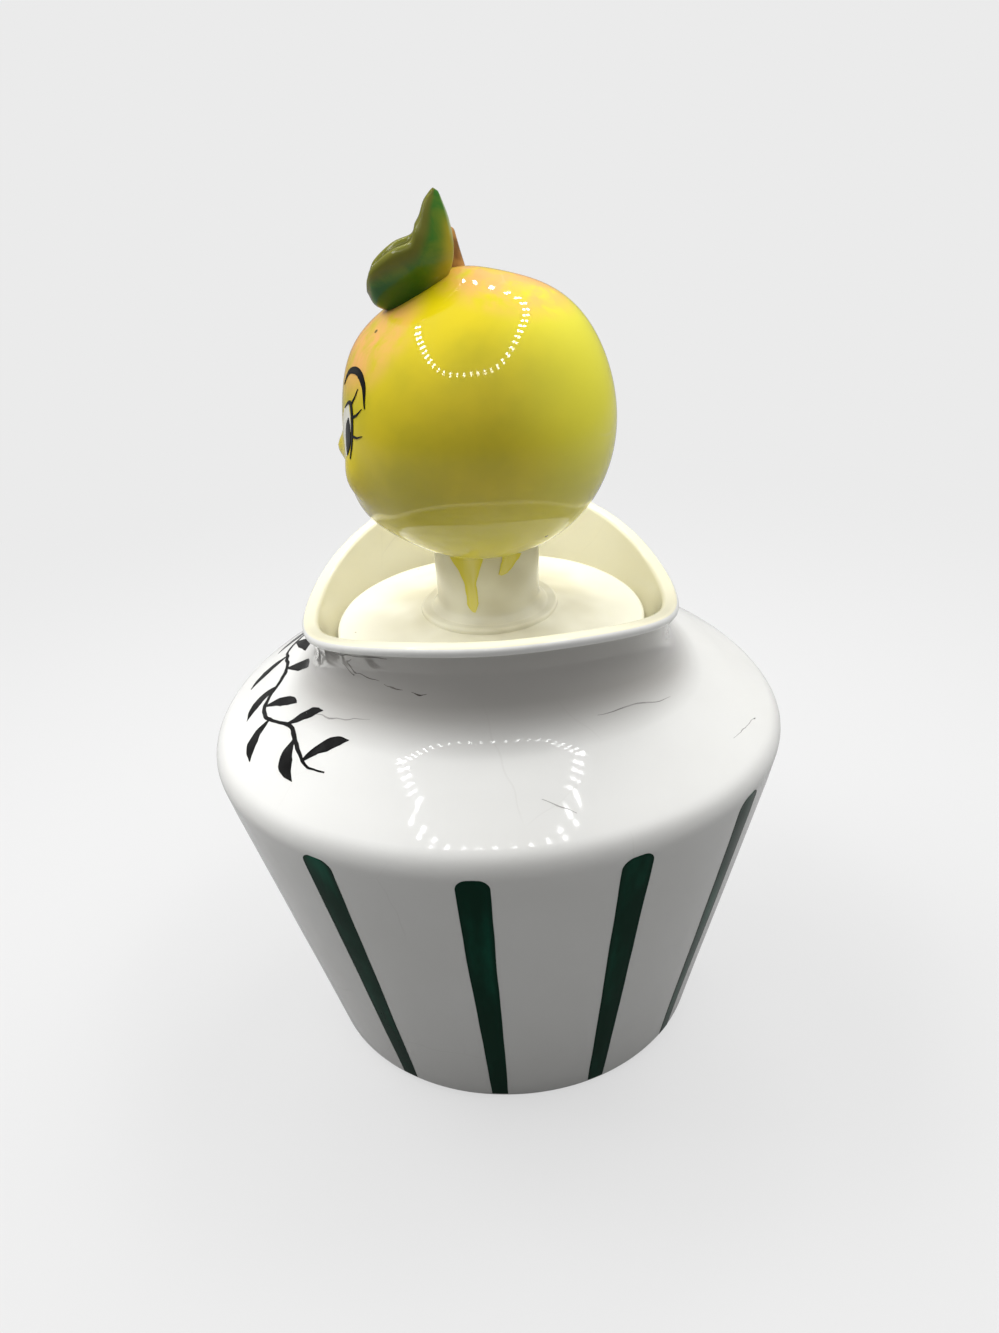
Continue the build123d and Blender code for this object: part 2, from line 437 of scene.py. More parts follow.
def make_lid_neck(tree, material):
    """The neck, with the uneven ring of slip that holds it to the lid."""
    seat = lid_crown_height - neck_seat_depth
    corners = [
        (0, seat, 0),
        (slip_radius, seat, 0),
        (slip_radius, lid_crown_height + slip_height, slip_round),
        (slip_radius - slip_width, lid_crown_height + slip_dip_height, slip_dip_round),
        (neck_radius, lid_crown_height + neck_cove_height, neck_cove),
        (neck_radius, neck_top_height, 0),
        (0, neck_top_height, 0),
    ]
    piece = turned_piece("lid_neck_tube", tree, corners, material, wander=0.9, wander_scale=100.0)
    belongs(piece, "lid", "cream_glaze", "lid_neck")
    return piece


# The fruit's ball

def on_face(side, up, height=0.0):
    """Place on the fruit: millimetres sideways and up from the middle of its face, at a height above it."""
    lift = up / fruit_radius
    turn = side / (fruit_radius * cos(lift))
    way = Vector((cos(lift) * sin(turn), -cos(lift) * cos(turn), sin(lift)))
    return fruit_centre + way * (fruit_radius + height)


def fruit_bumps():
    """Places of the fruit's bumps, with their heights and spreads."""
    nose = (on_face(0, -2.4), 1.1, 1.7)
    cheeks = [(on_face(side, -4.8), 1.3, 3.6) for side in (8.7, -8.7)]
    jaw = (on_face(0, -12.0), 1.6, 7.0)
    forehead = (on_face(0, 13.0), 0.7, 7.0)
    crown = (fruit_centre + Vector((-1.0, -2.0, 20.0)), 1.3, 6.0)
    back = (fruit_centre + Vector((0.0, 12.0, 16.0)), 1.3, 10.0)
    dent = (fruit_centre + Vector((16, 10, 8)), -0.3, 6.0)
    swell = (fruit_centre + Vector((8, 12, -8)), 0.25, 8.0)
    return [nose, *cheeks, jaw, forehead, crown, back, dent, swell]


def make_fruit_head(material):
    """The fruit: a ball flattened at the face, drawn up at the crown, with a nose and cheeks."""
    flat_radius = 30.0
    flat_depth = 0.4
    softness = 0.5
    work = bmesh.new()
    bmesh.ops.create_icosphere(work, subdivisions=6, radius=1.0)
    ways = np.array([v.co[:] for v in work.verts])
    flat_centre = flat_radius - fruit_radius + flat_depth
    along = ways[:, 1] * flat_centre
    flat = along + np.sqrt(along**2 + flat_radius**2 - flat_centre**2)
    radius = -softness * np.log(np.exp(-fruit_radius / softness) + np.exp(-flat / softness))
    for place, height, spread in fruit_bumps():
        way = np.array((place - fruit_centre).normalized()[:])
        away = np.arccos(np.clip(ways @ way, -1, 1)) * fruit_radius
        radius = radius + height * np.exp(-((away / spread) ** 2))
    for vert, reach in zip(work.verts, radius):
        vert.co = (fruit_centre + vert.co * reach) * MM
    mesh = bpy.data.meshes.new("fruit_ball")
    work.to_mesh(mesh)
    work.free()
    piece = placed("fruit_ball", mesh)
    mesh.materials.append(material)
    finished(piece)
    belongs(piece, "lid", "yellow_glaze", "fruit_head")
    return piece


# Leaf: stations from its rounded end to its point, near the solid's: the keel's y and height and the
# crest's y and height above the fruit's centre, then the half width and the depth of the fold
leaf_x = 1.6
leaf_edge_share = 0.45
leaf_crest_share = 0.65
leaf_wall_steps = 20
leaf_fold_steps = 12
leaf_crest_steps = 4
leaf_pool_depth = 0.7
leaf_pool_half_width = 3.0
leaf_stations = [
    (-14.2, 19.5, -14.0, 21.0, 2.0, 0.3),
    (-13.0, 17.5, -13.0, 22.5, 3.6, 1.6),
    (-9.8, 16.7, -10.2, 24.4, 4.4, 3.6),
    (-5.6, 18.5, -7.4, 25.4, 4.3, 3.8),
    (-2.6, 21.5, -6.5, 27.0, 3.8, 3.2),
    (-1.8, 24.9, -5.8, 28.4, 3.0, 2.2),
    (-2.2, 28.3, -5.2, 30.4, 2.0, 1.2),
    (-3.0, 30.9, -4.4, 31.8, 1.0, 0.3),
    (-3.4, 31.9, -4.0, 32.3, 0.5, 0.05),
]


def smooth_line(points, steps):
    """Smooth curve through points of any dimension, with steps between each two."""
    given = np.array(points, dtype=float)
    padded = np.vstack([2 * given[0] - given[1], given, 2 * given[-1] - given[-2]])
    line = []
    for k in range(len(given) - 1):
        a, b, c, d = padded[k:k + 4]
        for step in range(steps):
            t = step / steps
            line.append(0.5 * (2 * b + (c - a) * t + (2 * a - 5 * b + 4 * c - d) * t**2
                               + (3 * b - a - 3 * c + d) * t**3))
    line.append(given[-1])
    return np.array(line)


def bezier(points, steps):
    """Points along a cubic curve, without its last one."""
    a, b, c, d = (np.array(p, dtype=float) for p in points)
    shares = [k / steps for k in range(steps)]
    return [(1 - t)**3 * a + 3 * (1 - t)**2 * t * b + 3 * (1 - t) * t**2 * c + t**3 * d for t in shares]


def leaf_ring(station):
    """Closed U across the leaf, from one crest round the keel to the other, and back inside."""
    keel_y, keel_height, crest_y, crest_height, half_width, fold = station
    depth = hypot(crest_y - keel_y, crest_height - keel_height)
    up = np.array([0, (crest_y - keel_y) / depth, (crest_height - keel_height) / depth])
    edge = leaf_edge_share * half_width
    inner = half_width - edge
    belly = -depth / 3
    valley = depth - fold * 4 / 3
    crown = depth + edge * leaf_crest_share

    def arch(start, end, height, steps):
        return bezier([(start, depth), (start, height), (end, height), (end, depth)], steps)

    flat = arch(-half_width, half_width, belly, leaf_wall_steps)
    flat += arch(half_width, inner, crown, leaf_crest_steps)
    flat += arch(inner, -inner, valley, leaf_fold_steps)
    flat += arch(-inner, -half_width, crown, leaf_crest_steps)
    keel = np.array([leaf_x, keel_y, fruit_height + keel_height])
    ring = []
    for index, (across, along) in enumerate(flat):
        # A pool dents the flank that faces +X, from the keel up to its crest
        share = np.clip(index / leaf_wall_steps * 4 - 2, 0, 2) - 1
        dent = leaf_pool_depth * (1 - share**2) * min(1.0, half_width / leaf_pool_half_width)
        ring.append(keel + np.array([across - dent, 0, 0]) + up * along)
    return ring


def make_fruit_leaf(material):
    """The thick leaf, folded along its keel, with its point up."""
    rings = [leaf_ring(station) for station in smooth_line(leaf_stations, steps=6)]
    count = len(rings[0])
    points = [point for ring in rings for point in ring]
    faces = []
    for row in range(len(rings) - 1):
        for k in range(count):
            after = (k + 1) % count
            faces.append((row * count + k, row * count + after,
                          (row + 1) * count + after, (row + 1) * count + k))
    for row in (0, len(rings) - 1):
        points.append(sum(rings[row]) / count)
        for k in range(count):
            faces.append((row * count + k, row * count + (k + 1) % count, len(points) - 1))
    piece = mesh_object("fruit_leaf_blade", points, faces)
    shares = [row / (len(rings) - 1) for row in range(len(rings)) for _ in range(count)]
    mark(piece, "along", shares + [0.0, 1.0])
    ring_crest = []
    for steps in (leaf_wall_steps, leaf_fold_steps):
        ring_crest += [abs(2 * k / steps - 1) for k in range(steps)] + [1.0] * leaf_crest_steps
    mark(piece, "crest", ring_crest * len(rings) + [0.5, 1.0])
    piece.data.materials.append(material)
    finished(piece, sharp_angle=70.0)
    belongs(piece, "lid", "green_glaze", "fruit_leaf")


# Stalk
stalk_x = -3.6
stalk_y = -3.0
stalk_foot_height = fruit_height + 17.0
stalk_foot_radius = 5.2
stalk_waist_rise = 1.4
stalk_waist_radius = 2.6
stalk_cove = 2.4
stalk_length = 7.0
stalk_top_radius = 1.3
stalk_round = 0.9


def make_fruit_stalk(tree, material):
    """The stalk's nub, with a foot that spreads over the crown."""
    crown = fruit_height + sqrt(fruit_radius**2 - stalk_x**2 - stalk_y**2)
    top = crown + stalk_length
    corners = [
        (0, stalk_foot_height, 0),
        (stalk_foot_radius, stalk_foot_height, 0),
        (stalk_waist_radius, crown + stalk_waist_rise, stalk_cove),
        (stalk_top_radius, top, stalk_round),
        (0, top, 0),
    ]
    piece = turned_piece("fruit_stalk_nub", tree, corners, material, wander=0.5, wander_scale=160.0,
                         turns=48)
    piece.data.transform(Matrix.Translation((stalk_x * MM, stalk_y * MM, 0)))
    belongs(piece, "lid", "brown_glaze", "fruit_stalk")


# Brush strokes, drawn off a surface and dropped on it along their own normals
stroke_height = 3.0
stroke_drop = 20.0
stroke_sharp_angle = 40.0


def brush_tree():
    """Lets flat strokes wander, and lays them on a surface."""
    tree, given = new_tree("brush_strokes", {
        "Surface": "Object", "Wander": "Float", "Wander Scale": "Float", "Lift": "Float",
        "Material": "Material",
    })
    place = put(tree, "GeometryNodeInputPosition")
    shake = mottle(tree, place, given["Wander Scale"], out=1)
    centred = vector(tree, "SUBTRACT", shake, (0.5, 0.5, 0.5))
    shaken = put(tree, "GeometryNodeSetPosition",
                 {"Geometry": given["Geometry"], "Offset": scaled(tree, centred, given["Wander"])})
    surface = put(tree, "GeometryNodeObjectInfo", {"Object": given["Surface"]}, out="Geometry")
    normal = put(tree, "GeometryNodeInputNormal")
    ray = put(tree, "GeometryNodeRaycast", {
        "Target Geometry": surface, "Source Position": place, "Ray Direction": scaled(tree, normal, -1.0),
        "Ray Length": stroke_drop * MM,
    }).node.outputs
    lift = scaled(tree, ray["Hit Normal"], given["Lift"])
    lifted = vector(tree, "ADD", ray["Hit Position"], lift)
    laid = put(tree, "GeometryNodeSetPosition", {"Geometry": shaken, "Position": lifted})
    end_tree(tree, laid, given["Material"])
    return tree


def stroke(line, widths, place, steps=8, across=4):
    """Points, faces and nearness to the edge of one brush stroke, with its width given at even steps."""
    path = smooth_line(line, steps)
    share = np.linspace(0, 1, len(path))
    width = np.interp(share, np.linspace(0, 1, len(widths)), widths)
    ways = np.gradient(path, axis=0)
    ways /= np.linalg.norm(ways, axis=1)[:, None]
    points, edge = [], []
    for (u, v), (du, dv), wide in zip(path, ways, width):
        for k in range(across + 1):
            side = (k / across - 0.5) * wide
            points.append(place(u - dv * side, v + du * side))
            edge.append(abs(2 * k / across - 1))
    faces = []
    for row in range(len(path) - 1):
        for k in range(across):
            first = row * (across + 1) + k
            faces.append((first, first + across + 1, first + across + 2, first + 1))
    return points, faces, edge


def painted(name, tree, strokes, surface, material, body, slot, wander=0.0, wander_scale=90.0,
            lift=0.05, thickness=0.15):
    """Piece of brush strokes laid on a surface, with the thickness of the paint."""
    points, faces, edge = [], [], []
    for some_points, some_faces, some_edge in strokes:
        faces += [tuple(len(points) + k for k in face) for face in some_faces]
        points += some_points
        edge += some_edge
    piece = mesh_object(name, points, faces)
    mark(piece, "edge", edge)
    grown(piece, tree, {
        "Surface": surface, "Wander": wander * MM, "Wander Scale": wander_scale, "Lift": lift * MM,
        "Material": material,
    })
    shell = piece.modifiers.new("thickness", "SOLIDIFY")
    shell.thickness = thickness * MM
    shell.offset = -1.0
    baked(piece)
    piece.data.shade_smooth()
    piece.data.set_sharp_from_angle(angle=radians(stroke_sharp_angle))
    belongs(piece, body, slot)


def on_wall(along, up):
    """Place off the flaring wall, on the side with the leaf: sideways, and up from the foot."""
    slope = (shoulder_radius - foot_radius) / shoulder_height
    lean = atan2(slope, 1)
    radius = foot_radius + up * slope + stroke_height * cos(lean)
    turn = along / radius
    return Vector((radius * cos(turn), radius * sin(turn), up - stroke_height * sin(lean)))


def on_shoulder(along, up):
    """Place off the front of the shoulder's slope: sideways at its middle, and up from its edge."""
    throat_radius = collar_outside(throat_height)
    rise = Vector((throat_radius - shoulder_radius, throat_height - shoulder_height)).normalized()
    radius = shoulder_radius + rise.x * up + rise.y * stroke_height
    height = shoulder_height + rise.y * up - rise.x * stroke_height
    middle = (throat_radius + shoulder_radius) / 2
    turn = along / middle - pi / 2
    return Vector((radius * cos(turn), radius * sin(turn), height))


def make_stripes(tree, pot, material):
    """Twelve brushed stripes down the wall, each broad and blunt at its top, with one wider gap."""
    first, step, count = -34.8, 28.8, 12
    bottom = 1.3
    side_top = shoulder_height - 2.2
    front_dip = 2.4
    blunt = 1.9
    foot_width = 2.9
    top_spread, spread_change = 2.6, 0.3
    rows = 12
    steps = 5
    end_shares = [0.95, 0.965, 0.98, 0.99, 0.997, 1.0]
    shares = [k / rows for k in range(rows)] + end_shares
    strokes = []
    for k in range(count):
        turn = radians(first + step * k)
        top = side_top - front_dip * abs(sin(turn)) ** rim_dip_power
        line = [(0, bottom + (top - bottom) * share) for share in shares]
        up = smooth_line(line, steps)[:, 1]
        into_end = np.clip((up - top) / blunt + 1, 0, 1)
        corner = blunt * (1 - np.sqrt(1 - into_end**2))
        spread = top_spread + spread_change * sin(5 * k)
        widths = foot_width + spread * (up - bottom) / (top - bottom) - 2 * corner
        points, faces, edge = stroke(line, widths, on_wall, steps=steps, across=6)
        strokes.append(([Matrix.Rotation(turn, 3, "Z") @ point for point in points], faces, edge))
    painted("wall_stripes", tree, strokes, pot, material, "pot", "white_glaze",
            wander=0.5, wander_scale=45.0)


def make_sprig(tree, pot, material):
    """Black brushed sprig along the front of the shoulder: a waving stem with leaves to both sides."""
    reach = 33.0
    middle = 11.5
    wave = 1.6
    wave_angle = 18.0
    stem_steps = 20
    leaves = 11
    leaf_line = [(0, 0), (1.6, 2.7), (4.0, 4.6), (6.4, 5.6)]
    leaf_widths = [0.4, 1.8, 2.4, 1.4, 0.1]
    stem_widths = [0.2, 0.8, 0.6, 0.9, 0.6, 0.8, 0.2]

    def on_stem(share):
        return reach * (2 * share - 1), middle + wave * sin(share * wave_angle)

    stem = [on_stem(k / stem_steps) for k in range(stem_steps + 1)]
    strokes = [stroke(stem, stem_widths, on_shoulder)]
    for k in range(1, leaves + 1):
        u, v = on_stem(k / (leaves + 1))
        side = 1 if k % 2 else -1
        leaf = [(u + along, v + side * up) for along, up in leaf_line]
        strokes.append(stroke(leaf, leaf_widths, on_shoulder))
    painted("shoulder_sprig", tree, strokes, pot, material, "pot", "white_glaze",
            wander=0.35, wander_scale=160.0)


def off_axis(radius):
    """Mapping to places off an upright round: sideways from the side with the leaf, and up."""

    def place(along, up):
        turn = along / radius
        far = radius + stroke_height
        return Vector((far * cos(turn), far * sin(turn), up))

    return place


def make_glaze_runs(tree, neck, material):
    """Yellow glaze that ran down the neck from the fruit, which hides where each run begins."""
    top = neck_top_height - 1.3
    place = off_axis(neck_radius)
    runs = [
        ([(-2.6, 77.9), (-2.7, 80.0), (-2.9, 83.0), (-3.2, top)], [0.3, 1.6, 1.5, 1.7, 3.0, 5.6]),
        ([(2.0, top - 3.2), (2.8, top - 2.4), (3.6, top - 1.2), (4.2, top)], [0.3, 1.8, 2.4, 2.8]),
        ([(14.0, 81.0), (14.2, 84.0), (14.5, top)], [0.2, 1.4, 2.4]),
        ([(-17.0, 79.5), (-16.6, 83.0), (-16.0, top)], [0.2, 1.6, 3.0]),
    ]
    strokes = [stroke(line, widths, place) for line, widths in runs]
    painted("neck_glaze_runs", tree, strokes, neck, material, "lid", "yellow_glaze",
            wander=0.5, wander_scale=220.0, lift=0.12, thickness=0.25)


def make_lip_cracks(tree, pot, material):
    """Fine dark cracks in the glaze under the lip, from the side with the leaf towards the front."""
    place = off_axis(collar_outside(throat_height))
    cracks = [
        ([(-26.0, 78.0), (-22.0, 78.9), (-18.0, 80.0), (-14.0, 80.8)], [0.05, 0.3, 0.2, 0.3, 0.05]),
        ([(-20.6, 78.6), (-22.0, 77.4), (-20.4, 76.2), (-16.4, 76.0)], [0.05, 0.25, 0.3, 0.2, 0.05]),
        ([(-23.4, 76.8), (-21.0, 75.4)], [0.05, 0.2, 0.05]),
        ([(-15.6, 76.0), (-14.0, 75.6), (-12.4, 75.9)], [0.05, 0.3, 0.05]),
        ([(-11.4, 75.9), (-10.2, 75.6), (-9.0, 75.8)], [0.05, 0.25, 0.05]),
    ]
    strokes = [stroke(line, widths, place) for line, widths in cracks]
    painted("lip_cracks", tree, strokes, pot, material, "pot", "white_glaze",
            wander=0.7, wander_scale=300.0, lift=0.02)


def make_hairlines(tree, pot, material):
    """Two faint bits of the mould's seam under the collar, and two hairlines in the shoulder's glaze."""
    thin_end = 0.05
    lines = [
        ([(18.4, 16.4), (27.0, 18.2), (36.2, 19.6)], 0.22),
        ([(77.0, 19.4), (86.0, 18.8), (95.0, 17.2)], 0.25),
        ([(64.5, 9.0), (66.5, 7.8), (68.5, 6.4)], 0.15),
        ([(98.0, 6.2), (102.0, 5.6), (106.0, 4.2)], 0.15),
    ]
    strokes = [stroke(line, [thin_end, width, thin_end], on_shoulder) for line, width in lines]
    painted("shoulder_hairlines", tree, strokes, pot, material, "pot", "white_glaze",
            wander=0.6, wander_scale=200.0, lift=0.02)


def make_face(tree, head, black, white, red):
    """The painted face: brows, eyes with lashes, and a small mouth."""

    def above(side, up):
        return on_face(side, up, stroke_height)

    def drawn(way, line, widths):
        """Stroke on one half of the face, in the order that makes its faces look outwards."""
        points = [(way * side, up) for side, up in line]
        return stroke(points[::way], widths[::way], above)

    brow = ([(3.9, 7.8), (5.0, 9.9), (7.8, 10.5), (10.8, 9.0), (12.7, 6.2)], [0.2, 0.7, 1.0, 0.9, 0.6, 0.15])
    eye_white = ([(7.6, 5.9), (7.3, 3.6), (7.4, 1.0), (7.9, -1.6)], [0.2, 3.0, 4.2, 4.2, 3.2, 0.2])
    eye_line = ([(6.2, 5.0), (8.2, 6.2), (9.6, 4.6), (10.1, 2.0), (9.7, -1.4)],
                [0.2, 0.5, 0.7, 0.7, 0.5, 0.2])
    pupil = ([(8.4, 4.0), (8.4, 2.4), (8.4, 0.6), (8.5, -1.2)], [0.3, 1.6, 2.2, 2.2, 1.6, 0.3])
    lash_widths = [0.4, 0.3, 0.1]
    lash_lines = [
        [(8.8, 6.0), (9.4, 7.2), (9.6, 8.4)],
        [(9.8, 4.4), (11.0, 5.0), (12.0, 6.0)],
        [(10.1, 1.8), (11.6, 1.9), (13.0, 2.4)],
    ]
    lashes = [(line, lash_widths) for line in lash_lines]
    dark = [drawn(way, *part) for way in (-1, 1) for part in (brow, eye_line, pupil, *lashes)]
    light = [drawn(way, *eye_white) for way in (-1, 1)]
    mouth_line = [(-3.0, -6.6), (-1.4, -7.6), (0, -7.9), (1.4, -7.6), (3.0, -6.6)]
    mouth = [stroke(mouth_line, [0.15, 0.7, 0.9, 0.7, 0.15], above)]
    painted("face_dark_strokes", tree, dark, head, black, "lid", "yellow_glaze", lift=0.10)
    painted("face_eye_whites", tree, light, head, white, "lid", "yellow_glaze", lift=0.05)
    painted("face_mouth", tree, mouth, head, red, "lid", "yellow_glaze")


# Materials

def new_glaze(name):
    """New material with its tree and Object coordinates."""
    material = bpy.data.materials.new(name)
    material.use_nodes = True
    tree = material.node_tree
    return material, tree, put(tree, "ShaderNodeTexCoord", out="Object")


def marked(tree, name):
    """A number that a piece's points carry under a name."""
    return put(tree, "ShaderNodeAttribute", out="Fac", attribute_name=name)


def glossy(tree, where, colour, smoothest, roughest, ripple=0.1, specular=0.5):
    """Wires a fired glaze: its colour, an uneven gloss and the ripple of its surface."""
    gloss_scale, ripple_scale, grain_scale = 130.0, 170.0, 1400.0
    ripple_depth = 0.4 * MM
    grain_share = 0.08
    gloss = eased(tree, mottle(tree, where, gloss_scale, 4.0), 0.3, 0.7, smoothest, roughest)
    grain = times(tree, mottle(tree, where, grain_scale), grain_share)
    waves = calc(tree, "ADD", mottle(tree, where, ripple_scale, 1.0), grain)
    bump = put(tree, "ShaderNodeBump", {"Height": waves, "Strength": ripple, "Distance": ripple_depth})
    wire(tree, tree.nodes["Principled BSDF"], {
        "Base Color": colour, "Roughness": gloss, "Normal": bump, "Specular IOR Level": specular,
    })


def pinholes(tree, where, scale, share, size):
    """Mask of a few small round pits: one cell in a few has one."""
    cells = put(tree, "ShaderNodeTexVoronoi", {"Vector": where, "Scale": scale}).node.outputs
    chance = put(tree, "ShaderNodeSeparateColor", {0: cells["Color"]})
    chosen = calc(tree, "GREATER_THAN", chance, 1.0 - share)
    return times(tree, chosen, eased(tree, cells["Distance"], size, size * 0.6))


def crazing(tree, where, scale, thin):
    """Mask of fine cracks that come and go."""
    bend = scaled(tree, mottle(tree, where, 60.0, out=1), 8 * MM)
    bent = vector(tree, "ADD", where, bend)
    edges = put(tree, "ShaderNodeTexVoronoi", {"Vector": bent, "Scale": scale}, feature="DISTANCE_TO_EDGE")
    lines = eased(tree, edges, thin, thin * 0.3)
    return times(tree, lines, eased(tree, mottle(tree, where, 38.0), 0.5, 0.62))


def pot_glaze():
    """White outside, cream inside, with fine cracks and pinholes, and painted shade in grey on the collar's
    outer wall under the lip.
    """
    material, tree, where = new_glaze("white_pot_glaze")
    throat_shade_grey = (0.46, 0.445, 0.42, 1)
    crack_brown = (0.38, 0.35, 0.31, 1)
    pit_brown = (0.06, 0.045, 0.03, 1)
    crack_strength = 0.08
    white = blended(tree, mottle(tree, where, 45.0, 3.0), (0.84, 0.84, 0.82, 1), (0.77, 0.765, 0.735, 1))
    # Painted shade: the collar's outer wall is greyed under the lip, where the lip and the fruit above shade
    # it
    white = blended(tree, marked(tree, "throat_shade"), white, throat_shade_grey)
    cream = blended(tree, mottle(tree, where, 60.0, 3.0), (0.89, 0.86, 0.69, 1), (0.83, 0.79, 0.58, 1))
    colour = blended(tree, eased(tree, marked(tree, "inner"), 0.3, 0.7), white, cream)
    cracks = times(tree, crazing(tree, where, 55.0, 0.008), crack_strength)
    colour = blended(tree, cracks, colour, crack_brown)
    colour = blended(tree, pinholes(tree, where, 90.0, 0.1, 0.035), colour, pit_brown)
    glossy(tree, where, colour, 0.03, 0.08, ripple=0.06)
    return material


def lid_glaze():
    """Cream, with dark pits and fine specks, and painted shade: mottled grey round the neck, under the
    fruit.
    """
    material, tree, where = new_glaze("cream_lid_glaze")
    neck_shade_grey = (0.62, 0.585, 0.44, 1)
    pit_brown = (0.07, 0.05, 0.03, 1)
    speck_brown = (0.45, 0.40, 0.28, 1)
    neck_shade_edge, neck_shade_middle = 26 * MM, 10 * MM
    cream = blended(tree, mottle(tree, where, 70.0, 3.0), (0.92, 0.90, 0.80, 1), (0.87, 0.85, 0.70, 1))
    flat = vector(tree, "MULTIPLY", where, (1.0, 1.0, 0.0))
    reach = vector(tree, "LENGTH", flat, out="Value")
    # Painted shade: mottled grey round the neck, where the fruit shades the lid
    clouds = eased(tree, mottle(tree, where, 90.0), 0.2, 0.7)
    painted_neck_shade = times(tree, eased(tree, reach, neck_shade_edge, neck_shade_middle), clouds)
    cream = blended(tree, painted_neck_shade, cream, neck_shade_grey)
    colour = blended(tree, pinholes(tree, where, 120.0, 0.08, 0.05), cream, pit_brown)
    colour = blended(tree, pinholes(tree, where, 420.0, 0.12, 0.09), colour, speck_brown)
    glossy(tree, where, colour, 0.1, 0.25)
    return material


def fruit_glaze():
    """Golden yellow with an orange blush in streaks at crown and forehead; painted light and a painted
    whitish reflection make its back paler, and thinner glaze with a painted reflection of the lid makes its
    underside paler.
    """
    material, tree, where = new_glaze("yellow_fruit_glaze")
    painted_light_yellow = (0.88, 0.82, 0.05, 1)
    thin_and_reflected_yellow = (0.70, 0.66, 0.14, 1)
    blush_orange = (0.86, 0.42, 0.14, 1)
    scratch_cream = (0.88, 0.84, 0.42, 1)
    pit_brown = (0.12, 0.09, 0.01, 1)
    way = vector(tree, "NORMALIZE", vector(tree, "SUBTRACT", where, tuple(fruit_centre * MM)))

    def nearness(spot, near, far):
        """Mask round a spot of the ball, between two angles."""
        spot_way = tuple(Vector(spot).normalized())
        towards = vector(tree, "DOT_PRODUCT", way, spot_way, out="Value")
        return eased(tree, towards, cos(radians(far)), cos(radians(near)))

    patches = eased(tree, mottle(tree, where, 60.0, 4.0), 0.35, 0.65)
    colour = blended(tree, patches, (0.70, 0.56, 0.005, 1), (0.54, 0.46, 0.006, 1))
    # Painted light: the back of the ball, the side that the lamps light most, is brighter and paler, with a
    # painted whitish reflection
    colour = blended(tree, nearness((0.1, 1.0, 0.15), 15, 80), colour, painted_light_yellow)
    # Paler underneath: partly thinner glaze, partly a painted reflection of the pale lid below the ball
    thin = times(tree, nearness((0.0, 0.3, -1.0), 30, 85), 0.75)
    colour = blended(tree, thin, colour, thin_and_reflected_yellow)
    drawn = put(tree, "ShaderNodeMapping", {"Vector": where, "Scale": (1.0, 1.0, 0.35)})
    streaks = eased(tree, mottle(tree, drawn, 330.0, 4.0, distortion=0.4), 0.25, 0.6)
    crown = nearness((0.05, 0.25, 0.97), 10, 32)
    forehead = nearness((0.2, -0.7, 0.7), 8, 30)
    blush = times(tree, calc(tree, "MAXIMUM", crown, forehead), streaks)
    colour = blended(tree, times(tree, blush, 0.85), colour, blush_orange)
    scratches = times(tree, crazing(tree, where, 45.0, 0.012), 0.3)
    colour = blended(tree, scratches, colour, scratch_cream)
    colour = blended(tree, pinholes(tree, where, 160.0, 0.2, 0.06), colour, pit_brown)
    glossy(tree, where, colour, 0.03, 0.08, ripple=0.06, specular=0.8)
    return material


def leaf_glaze():
    """Green, dark where it pools in the rounded end inside an olive border, yellower towards the stalk, with
    a painted pale sheen towards the point.
    """
    material, tree, where = new_glaze("green_leaf_glaze")
    yellow_green = (0.46, 0.37, 0.015, 1)
    pool_green = (0.008, 0.12, 0.006, 1)
    border_olive = (0.17, 0.15, 0.014, 1)
    painted_sheen_green = (0.50, 0.58, 0.36, 1)
    along = marked(tree, "along")
    crest = marked(tree, "crest")

    def band(value, low, low_full, high_full, high):
        """Mask of a band of a value, soft at both ends."""
        rise = eased(tree, value, low, low_full)
        return times(tree, rise, eased(tree, value, high, high_full))

    def laid(colour, first, second, strength, paint):
        """Colour with a paint over it where two masks meet."""
        share = times(tree, times(tree, first, second), strength)
        return blended(tree, share, colour, paint)

    patches = eased(tree, mottle(tree, where, 300.0, 4.0, distortion=0.6), 0.35, 0.65)
    colour = blended(tree, patches, (0.04, 0.18, 0.012, 1), (0.13, 0.23, 0.012, 1))
    colour = laid(colour, band(along, 0.28, 0.48, 0.66, 0.80), eased(tree, crest, 0.75, 0.35), 0.85,
                  yellow_green)
    colour = laid(colour, band(along, 0.07, 0.16, 0.32, 0.50), band(crest, 0.16, 0.34, 0.72, 0.86), 0.9,
                  pool_green)
    keel = times(tree, eased(tree, crest, 0.22, 0.06), eased(tree, along, 0.50, 0.30))
    border = calc(tree, "MAXIMUM", eased(tree, crest, 0.80, 0.97), keel)
    border = calc(tree, "MAXIMUM", border, eased(tree, along, 0.11, 0.05))
    colour = blended(tree, times(tree, border, 0.85), colour, border_olive)
    # Painted reflection: pale green sheen on the flank near the keel towards the point, where the leaf
    # mirrors its bright surroundings
    colour = laid(colour, band(along, 0.60, 0.72, 0.88, 0.97), eased(tree, crest, 0.40, 0.15), 0.7,
                  painted_sheen_green)
    glossy(tree, where, colour, 0.05, 0.15, ripple=0.4)
    return material


def stalk_glaze():
    """Orange brown, darker in streaks."""
    material, tree, where = new_glaze("brown_stalk_glaze")
    streaks = mottle(tree, where, 320.0, 3.0)
    colour = blended(tree, eased(tree, streaks, 0.3, 0.7), (0.55, 0.28, 0.06, 1), (0.22, 0.10, 0.02, 1))
    glossy(tree, where, colour, 0.08, 0.2)
    return material


